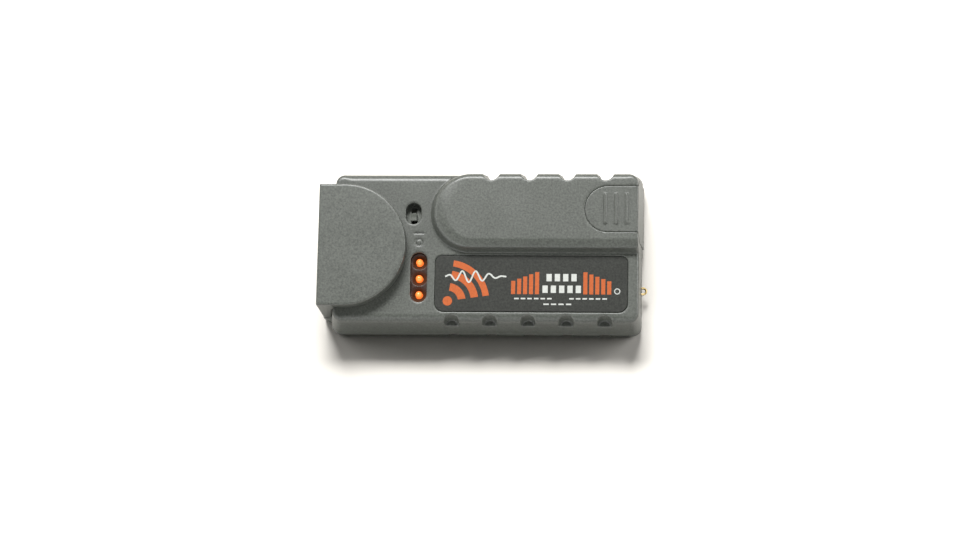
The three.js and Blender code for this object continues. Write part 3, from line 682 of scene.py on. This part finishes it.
def lofted(name, rings, material):
    """A flat-shaded skin over closed rings of points, capped at both ends."""
    count = len(rings[0])
    around = np.arange(count)
    after = (around + 1) % count
    faces = [np.column_stack([row * count + around, row * count + after, (row + 1) * count + after,
                              (row + 1) * count + around]) for row in range(len(rings) - 1)]
    thing = mesh_object(name, np.concatenate(rings), np.concatenate(faces), material)
    work = bmesh.new()
    work.from_mesh(thing.data)
    work.verts.ensure_lookup_table()
    last = (len(rings) - 1) * count
    work.faces.new([work.verts[k] for k in around[::-1]])
    work.faces.new([work.verts[last + k] for k in around])
    bmesh.ops.recalc_face_normals(work, faces=work.faces)
    work.to_mesh(thing.data)
    work.free()
    thing.data.shade_flat()
    return thing


def raised(points, levels):
    """Rings of the same plan points at each of several heights."""
    return [np.column_stack([points, np.full(len(points), level)]) for level in levels]


def label_piece(material):
    """A thin plate with round corners and a softened edge."""
    rings = []
    for level, inset in ((LABEL.z0, 0.0), (LABEL.z1 - 0.1, 0.0), (LABEL.z1 - 0.03, 0.03), (LABEL.z1, 0.12)):
        rings += raised(outline(grown(LABEL, -inset), 2.9 - inset, 3.9 - inset), [level])
    return lofted("label_skin", rings, material)


def printed(name, one_side, other_side, material, height=INK):
    """Ink between two lines of points, measured from the label's left front corner."""
    points = np.concatenate([one_side, other_side[::-1]]) + (LABEL.x0, LABEL.y0)
    thing = lofted(name, raised(points, (LABEL.z1 - INK, LABEL.z1 + height)), material)
    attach(thing, "case")


def bar(name, left, front, width, height, material):
    lower = np.array([(left, front), (left + width, front)])
    printed(name, lower, lower + (0, height), material)


def arc(name, centre, radii, turn, material):
    """A printed arc between two radii; turn is its first and last angle in degrees."""
    points = 40
    angle = np.radians(np.linspace(*turn, points))
    ray = np.column_stack([np.cos(angle), np.sin(angle)])
    inner, outer = (np.array(centre) + ray * radius for radius in radii)
    printed(name, inner, outer, material)


def pulse(name, start, length, height, width, material):
    """A printed trace of a fading pulse, over the other ink."""
    share = np.linspace(0, 1, 90)
    fade = np.sin(math.pi * share) * (1.25 - share)
    line_x = start[0] + length * share
    line_y = start[1] + height * fade * np.sin(share * 4.5 * math.tau)
    slope = np.gradient(line_y, line_x)
    across = np.column_stack([-slope, np.ones(len(share))]) / np.hypot(slope, 1)[:, None] * width / 2
    line = np.column_stack([line_x, line_y])
    printed(name, line - across, line + across, material, height=2 * INK)


def row_of_bars(name, count, left, pitch, front, width, height, material, growth=0.0):
    for k in range(count):
        bar(f"{name}_{k + 1}", left + pitch * k, front, width, height + growth * k, material)


def print_label(orange, pale):
    """Plain marks only: signal arcs, a pulse trace, level bars and blocks in the place of words."""
    source = (5.6, 4.6)
    arc("signal_source", source, (0.1, 2.1), (0, 359.9), orange)
    for number, radii in enumerate(((4.6, 8.0), (10.3, 13.6), (15.6, 18.4)), 1):
        arc(f"signal_arc_{number}", source, radii, (8, 82), orange)
    pulse("pulse_trace", (4.4, 15.6), 27.0, 3.2, 0.7, pale)
    row_of_bars("left_level", 5, 33.6, 2.62, 7.8, 1.8, 5.9, orange, growth=1.0)
    row_of_bars("right_level", 5, 65.3, 2.62, 7.8, 1.8, 9.9, orange, growth=-1.0)
    row_of_bars("upper_block", 4, 49.1, 3.65, 13.6, 2.3, 3.3, pale)
    row_of_bars("lower_block", 5, 47.4, 3.65, 8.4, 2.3, 3.3, pale)
    row_of_bars("near_dash", 6, 35.0, 2.9, 5.5, 2.0, 0.65, pale)
    row_of_bars("far_dash", 6, 59.2, 2.9, 5.5, 2.0, 0.65, pale)
    row_of_bars("low_dash", 4, 47.9, 3.3, 3.0, 2.3, 0.65, pale)
    arc("small_ring", (80.2, 9.2), (0.95, 1.35), (0, 359.9), pale)


# ---------------------------------------------------------------- materials

def shader(name):
    """A new material and its principled node."""
    material = bpy.data.materials.new(name)
    material.use_nodes = True
    return material, material.node_tree.nodes["Principled BSDF"]


def node(material, kind, **inputs):
    """A node with its inputs set: a value is a constant and a socket is a link."""
    made = material.node_tree.nodes.new(kind)
    for key, value in inputs.items():
        socket = made.inputs[key.replace("_", " ")]
        link_or_set(material, socket, value)
    return made


def link_or_set(material, socket, value):
    if isinstance(value, bpy.types.NodeSocket):
        material.node_tree.links.new(value, socket)
    else:
        socket.default_value = value


def grain(material, size_mm, detail=2.0, roughness=0.5):
    """Noise with features about size_mm wide."""
    place = node(material, "ShaderNodeTexCoord")
    return node(material, "ShaderNodeTexNoise", Vector=place.outputs["Object"], Scale=1 / (size_mm * MM),
                Detail=detail, Roughness=roughness).outputs["Fac"]


def ramp(material, value, low, high):
    """Maps noise, which mostly lies between 0.3 and 0.7, to a range."""
    return node(material, "ShaderNodeMapRange", Value=value, From_Min=0.3, From_Max=0.7, To_Min=low,
                To_Max=high).outputs["Result"]


def tinted(material, colour, strength):
    """A colour multiplied by a grey strength socket."""
    scaled = node(material, "ShaderNodeVectorMath")
    scaled.operation = "SCALE"
    scaled.inputs[0].default_value = colour
    link_or_set(material, scaled.inputs["Scale"], strength)
    return scaled.outputs["Vector"]


def bump(material, height, strength, distance_mm):
    return node(material, "ShaderNodeBump", Height=height, Strength=strength,
                Distance=distance_mm * MM).outputs["Normal"]


def product(material, first, second):
    made = node(material, "ShaderNodeMath")
    made.operation = "MULTIPLY"
    link_or_set(material, made.inputs[0], first)
    link_or_set(material, made.inputs[1], second)
    return made.outputs[0]


# a mix node's sockets when it mixes colours
COLOUR_A, COLOUR_B, COLOUR_OUT = 6, 7, 2


def mixed(material, factor, first, second):
    """A blend of two colours, each a constant with alpha or a socket."""
    mix = node(material, "ShaderNodeMix", Factor=factor)
    mix.data_type = "RGBA"
    link_or_set(material, mix.inputs[COLOUR_A], first)
    link_or_set(material, mix.inputs[COLOUR_B], second)
    return mix.outputs[COLOUR_OUT]


def moulded_plastic(name, colour, rough=0.5, grain_mm=0.55, bump_strength=0.5, mottle=0.06, gloss=0.5):
    """Spark-eroded moulded plastic: fine pits, a speckle of tone and uneven sheen."""
    material, surface = shader(name)
    pits = grain(material, grain_mm, roughness=0.6)
    spots = grain(material, grain_mm * 1.6, roughness=0.7)
    speckle = ramp(material, spots, 1 - mottle, 1 + mottle)
    patches = grain(material, 16, detail=1.0)
    shade = product(material, speckle, ramp(material, patches, 0.985, 1.015))
    link_or_set(material, surface.inputs["Base Color"], tinted(material, colour, shade))
    link_or_set(material, surface.inputs["Roughness"], ramp(material, patches, rough - 0.02, rough + 0.02))
    link_or_set(material, surface.inputs["Normal"], bump(material, pits, bump_strength, 0.04))
    surface.inputs["Specular IOR Level"].default_value = gloss
    return material


def plain_gloss(name, colour, rough, metal=0.0, wear_mm=2.0, scratch=0.1):
    """A smoother finish for metal, lacquer and clear parts, with uneven sheen."""
    material, surface = shader(name)
    patches = grain(material, wear_mm, detail=4.0)
    shade = ramp(material, patches, 0.85, 1.15)
    link_or_set(material, surface.inputs["Base Color"], tinted(material, colour, shade))
    link_or_set(material, surface.inputs["Roughness"], ramp(material, patches, rough * 0.8, rough * 1.25))
    surface.inputs["Metallic"].default_value = metal
    fine = grain(material, wear_mm / 6)
    link_or_set(material, surface.inputs["Normal"], bump(material, fine, scratch, 0.03))
    return material


def lit_lamp(name, rim, core, strength):
    """A lit lamp: paler at the middle, where the line of sight meets it squarely."""
    material, surface = shader(name)
    facing = node(material, "ShaderNodeLayerWeight", Blend=0.35).outputs["Facing"]
    uneven = node(material, "ShaderNodeMath")
    uneven.operation = "ADD"
    link_or_set(material, uneven.inputs[0], facing)
    link_or_set(material, uneven.inputs[1], ramp(material, grain(material, 0.8), -0.12, 0.12))
    glow = mixed(material, uneven.outputs[0], (*core, 1), (*rim, 1))
    surface.inputs["Base Color"].default_value = (0.5, 0.1, 0.02, 1)
    surface.inputs["Roughness"].default_value = 0.2
    link_or_set(material, surface.inputs["Emission Color"], glow)
    surface.inputs["Emission Strength"].default_value = strength
    return material


def battery_lacquer(name):
    """Dark lacquer with a bare metal plate at the end that faces the door."""
    material, surface = shader(name)
    place = node(material, "ShaderNodeTexCoord")
    along = node(material, "ShaderNodeSeparateXYZ", Vector=place.outputs["Object"]).outputs["X"]
    bare = node(material, "ShaderNodeMapRange", Value=along, From_Min=(BATTERY.x1 - 1.3) * MM,
                From_Max=(BATTERY.x1 - 1.2) * MM).outputs["Result"]
    shade = ramp(material, grain(material, 3), 0.8, 1.2)
    lacquer = tinted(material, (0.022, 0.022, 0.025), shade)
    plate_shade = ramp(material, grain(material, 6), 0.94, 1.06)
    end_plate = tinted(material, (0.42, 0.42, 0.40), plate_shade)
    link_or_set(material, surface.inputs["Base Color"], mixed(material, bare, lacquer, end_plate))
    link_or_set(material, surface.inputs["Metallic"], bare)
    surface.inputs["Roughness"].default_value = 0.38
    return material


SHELL_PLASTIC = moulded_plastic("shell_plastic", (0.0482, 0.0523, 0.0452), rough=0.4, mottle=0.38)
DOOR_PLASTIC = moulded_plastic("door_plastic", (0.0475, 0.0515, 0.0445), rough=0.4, mottle=0.38)
LABEL_FILM = moulded_plastic("label_film", (0.0145, 0.0155, 0.013), rough=0.45, mottle=0.45, gloss=0.25)
ORANGE_INK = moulded_plastic("orange_ink", (0.27, 0.060, 0.014), rough=0.5, mottle=0.12, gloss=0.2)
PALE_INK = moulded_plastic("pale_ink", (0.31, 0.32, 0.30), rough=0.5, mottle=0.08, gloss=0.2)
LAMP_CUP = moulded_plastic("lamp_cup", (0.028, 0.011, 0.006), rough=0.4, mottle=0.2, gloss=0.3)
SWITCH_CASE = moulded_plastic("switch_case", (0.08, 0.087, 0.075), rough=0.5, mottle=0.2)
LEVER_PLASTIC = moulded_plastic("lever_plastic", (0.06, 0.065, 0.056), rough=0.6, mottle=0.2, gloss=0.3)
SLOT_FINISH = {
    "shell": SHELL_PLASTIC,
    "label": LABEL_FILM,
    "dark_plastic": moulded_plastic("dark_plastic", (0.016, 0.016, 0.016), rough=0.42),
    "lens": plain_gloss("lens_plastic", (0.02, 0.008, 0.01), 0.12, scratch=0.02),
    "lamp": lit_lamp("lamp_glow", (0.9, 0.10, 0.005), (1.0, 0.31, 0.07), 1.15),
    "brass": plain_gloss("brass_wire", (0.48, 0.37, 0.18), 0.38, metal=1.0, wear_mm=0.8),
    "steel": plain_gloss("nickelled_steel", (0.22, 0.22, 0.21), 0.45, metal=1.0, wear_mm=1.5),
    "circuit_board": plain_gloss("board_varnish", (0.02, 0.16, 0.06), 0.3),
    "chip": moulded_plastic("chip_epoxy", (0.025, 0.025, 0.028), rough=0.55, grain_mm=0.3),
    "capacitor": plain_gloss("capacitor_sleeve", (0.02, 0.04, 0.12), 0.3),
    "trimmer": plain_gloss("trimmer_plastic", (0.03, 0.12, 0.42), 0.35),
    "resistor": plain_gloss("resistor_lacquer", (0.6, 0.4, 0.2), 0.35),
    "battery": battery_lacquer("battery_lacquer"),
    "red_wire": plain_gloss("red_insulation", (0.45, 0.02, 0.015), 0.35),
    "black_wire": plain_gloss("black_insulation", (0.012, 0.012, 0.012), 0.35),
    "foam": moulded_plastic("foam", (0.03, 0.03, 0.03), rough=0.9, grain_mm=0.9, bump_strength=1.0,
                            mottle=0.4),
}


# ---------------------------------------------------------------- pieces

SLOTS = {part["node"]: part["material_slot"] for part in frame["record"]["subparts"]}


def add(node_name, field, cell, body_name="case", material=None, spare=0):
    """Moulds the piece that stands for one CAD node, which it may outgrow by spare."""
    slot = SLOTS[node_name]
    box = grown(span(node_name), spare)
    thing = moulded(node_name + "_skin", field, box, cell, material or SLOT_FINISH[slot])
    stand_for(thing, body_name, slot, node_name)


add("upper_shell", upper_field, 0.38)
add("lower_shell", lower_field, 0.42)
add("sensor_hood", hood_field, 0.38)
add("battery_door", door_field, 0.25, "battery_door", DOOR_PLASTIC)
add("door_pad", pad_field, 0.3, "battery_door")
add("switch_lever", lever_field, 0.1, "switch_lever", LEVER_PLASTIC)
add("switch_body", switch_field, 0.16, material=SWITCH_CASE, spare=1.6)
add("lamp_holder", holder_field, 0.22, material=LAMP_CUP)
add("front_lens", lens_field, 0.17)
add("lens_ring", lens_ring_field, 0.17)
add("lanyard_loop", loop_field, 0.12)
add("battery_can", battery_field, 0.4)
for number, box in enumerate(LAMPS, 1):
    add(f"indicator_lamp_{number}", lamp_field(box), 0.15)
for number in range(1, 5):
    add(f"case_screw_{number}", screw_field(span(f"case_screw_{number}"), False, 1.9), 0.17)
for number in range(1, 4):
    add(f"board_screw_{number}", screw_field(span(f"board_screw_{number}"), True, 1.6), 0.17)

stand_for(label_piece(LABEL_FILM), "case", "label", "label_plate")
print_label(ORANGE_INK, PALE_INK)

for name, thing in frame["nodes"].items():
    thing.data.materials.clear()
    thing.data.materials.append(SLOT_FINISH[SLOTS[name]])


# ---------------------------------------------------------------- stage

LIGHT_DISTANCE = 1.6             # metres


def add_camera():
    """Looks down on the label face from the front, turned a little about the line of sight."""
    azimuth, elevation, roll = (math.radians(a) for a in (20.0, 77.81, -19.32))
    distance, focal_pixels = 1.13713, 2569.67
    target = Vector((1.607, -11.107, 15.0)) * MM
    back = Vector((math.sin(azimuth) * math.cos(elevation), -math.cos(azimuth) * math.cos(elevation),
                   math.sin(elevation)))
    right = Vector((0, 0, 1)).cross(back).normalized()
    up = back.cross(right)
    turned_right = math.cos(roll) * right + math.sin(roll) * up
    turned_up = math.cos(roll) * up - math.sin(roll) * right
    data = bpy.data.cameras.new("camera")
    data.sensor_width = 36.0
    data.lens = focal_pixels * data.sensor_width / IMAGE_WIDTH
    camera = bpy.data.objects.new("camera", data)
    rotation = Matrix((turned_right, turned_up, back)).transposed()
    camera.matrix_world = Matrix.Translation(target + back * distance) @ rotation.to_4x4()
    bpy.context.scene.collection.objects.link(camera)
    bpy.context.scene.camera = camera


def add_floor():
    material, surface = shader("table")
    surface.inputs["Roughness"].default_value = 0.9
    surface.inputs["Specular IOR Level"].default_value = 0.1
    shade = ramp(material, grain(material, 40), 0.83, 0.87)
    link_or_set(material, surface.inputs["Base Color"], tinted(material, (1.0, 0.965, 0.90), shade))
    half = 3.0
    corners = [(-half, -half, 0), (half, -half, 0), (half, half, 0), (-half, half, 0)]
    mesh = bpy.data.meshes.new("table")
    mesh.from_pydata(corners, [], [(0, 1, 2, 3)])
    mesh.materials.append(material)
    table = bpy.data.objects.new("table", mesh)
    table.location.z = -0.1 * MM
    bpy.context.scene.collection.objects.link(table)


def add_light(name, azimuth, elevation, spread, power):
    """A soft box aimed at the object: azimuth 0 is straight behind it and 90 is its right.

    Spread is the width and height it subtends, in degrees.
    """
    turn, rise = math.radians(azimuth), math.radians(elevation)
    toward = Vector((math.sin(turn) * math.cos(rise), math.cos(turn) * math.cos(rise), math.sin(rise)))
    data = bpy.data.lights.new(name, "AREA")
    data.shape = "RECTANGLE"
    data.size, data.size_y = (2 * LIGHT_DISTANCE * math.tan(math.radians(angle) / 2) for angle in spread)
    data.energy = power
    light = bpy.data.objects.new(name, data)
    light.location = toward * LIGHT_DISTANCE
    light.rotation_euler = toward.to_track_quat("Z", "Y").to_euler()
    bpy.context.scene.collection.objects.link(light)
    return light


def add_world(strength):
    world = bpy.data.worlds.new("studio")
    world.use_nodes = True
    world.node_tree.nodes["Background"].inputs["Strength"].default_value = strength
    bpy.context.scene.world = world


def skip_table(light):
    """The light leaves out the table, whose shadow stays deep."""
    linked = bpy.data.collections.new(light.name + "_linked")
    linked.objects.link(bpy.data.objects["table"])
    linked.collection_objects[0].light_linking.link_state = "EXCLUDE"
    light.light_linking.receiver_collection = linked


add_camera()
add_floor()
add_light("key", azimuth=-8, elevation=48, spread=(30, 16), power=53)
add_light("left_back", azimuth=-60, elevation=28, spread=(34, 16), power=7)
add_light("right_back", azimuth=70, elevation=28, spread=(34, 16), power=13)
skip_table(add_light("front_fill", azimuth=185, elevation=26, spread=(80, 50), power=12))
skip_table(add_light("left_fill", azimuth=236, elevation=30, spread=(80, 44), power=24))
skip_table(add_light("right_fill", azimuth=110, elevation=34, spread=(110, 50), power=30))
add_world(0.26)
bpy.context.scene.view_settings.view_transform = "Standard"
